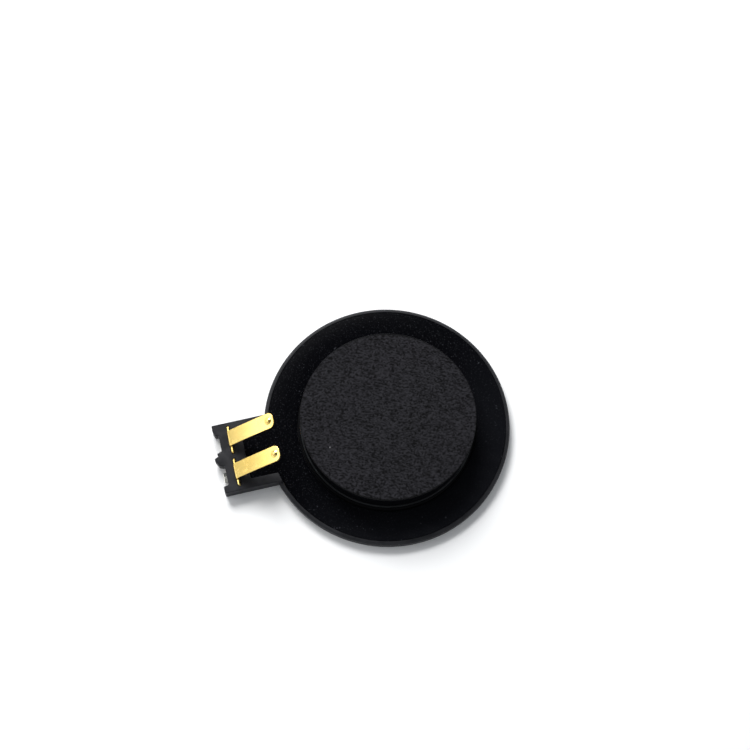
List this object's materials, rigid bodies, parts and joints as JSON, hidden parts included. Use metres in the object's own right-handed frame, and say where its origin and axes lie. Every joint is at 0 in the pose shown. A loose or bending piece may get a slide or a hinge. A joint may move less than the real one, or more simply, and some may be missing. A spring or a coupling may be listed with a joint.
{
  "type": "coin vibration motor",
  "caption": "Flat coin vibration motor in a round flanged holder, with a cushion pad on its case and sprung leaf contacts on a side terminal block.",
  "frame": {"origin": "on the shaft's axis, at the flat underside of the motor", "axes": "+Z along the shaft towards the cushion pad, +X away from the terminal block, which points along -X"},
  "size_m": [0.0206, 0.017, 0.0038],
  "materials": {
    "holder_plastic": "moulded, matt black",
    "ring_rubber": "black sheet, fine grain, slight gloss",
    "black_case": "black coated steel",
    "tape": "thin double-sided tape",
    "adhesive": "cured black adhesive",
    "pad_foam": "dark grey cushion with a fine cloth face",
    "steel": "cold rolled steel",
    "polished_steel": "ground and polished",
    "magnet_nickel": "nickel plated sintered magnet",
    "polyimide": "amber film with copper tracks",
    "bronze": "spring bronze strip",
    "washer_plastic": "natural low friction plastic",
    "gold_plate": "gold plated spring strip",
    "solder": "reflowed tin solder",
    "circuit_board": "green glass epoxy board",
    "rotor_resin": "dark moulded resin",
    "tungsten": "sintered tungsten alloy",
    "sintered_bronze": "oil filled bearing bronze",
    "copper_wire": "enamelled copper winding",
    "commutator_gold": "gold plated copper"
  },
  "bodies": {
    "motor_body": {"holder": "holder_plastic", "damping_ring": "ring_rubber", "case_bead": "adhesive", "motor_case": "black_case", "pad_tape": "tape", "cushion_pad": "pad_foam", "base_plate": "steel", "shaft": "polished_steel", "ring_magnet": "magnet_nickel", "flex_circuit": "polyimide", "brush_a": "bronze", "brush_b": "bronze", "lower_washer": "washer_plastic", "upper_washer": "washer_plastic", "contact_root_a": "gold_plate", "contact_root_b": "gold_plate", "solder_joint_a": "solder", "solder_joint_b": "solder"},
    "rotor": {"rotor_board": "circuit_board", "rotor_moulding": "rotor_resin", "eccentric_weight": "tungsten", "bearing_sleeve": "sintered_bronze", "coil_a": "copper_wire", "coil_b": "copper_wire", "commutator_segment_1": "commutator_gold", "commutator_segment_2": "commutator_gold", "commutator_segment_3": "commutator_gold", "commutator_segment_4": "commutator_gold", "commutator_segment_5": "commutator_gold", "commutator_segment_6": "commutator_gold"},
    "contact_a": {"contact_blade_a": "gold_plate"},
    "contact_b": {"contact_blade_b": "gold_plate"}
  },
  "joints": [
    {"name": "rotor_spin", "type": "hinge", "parent": "motor_body", "child": "rotor", "pos_m": [0, 0, 0.0015], "axis": [0, 0, 1], "continuous": true},
    {"name": "contact_a_press", "type": "hinge", "parent": "motor_body", "child": "contact_a", "pos_m": [-0.01058, 0.00116, 0.00142], "axis": [0, 1, 0], "range_deg": [0, 30], "stiffness_Nm_per_rad": 0.012},
    {"name": "contact_b_press", "type": "hinge", "parent": "motor_body", "child": "contact_b", "pos_m": [-0.01058, -0.00116, 0.00142], "axis": [0, 1, 0], "range_deg": [0, 30], "stiffness_Nm_per_rad": 0.012}
  ]
}
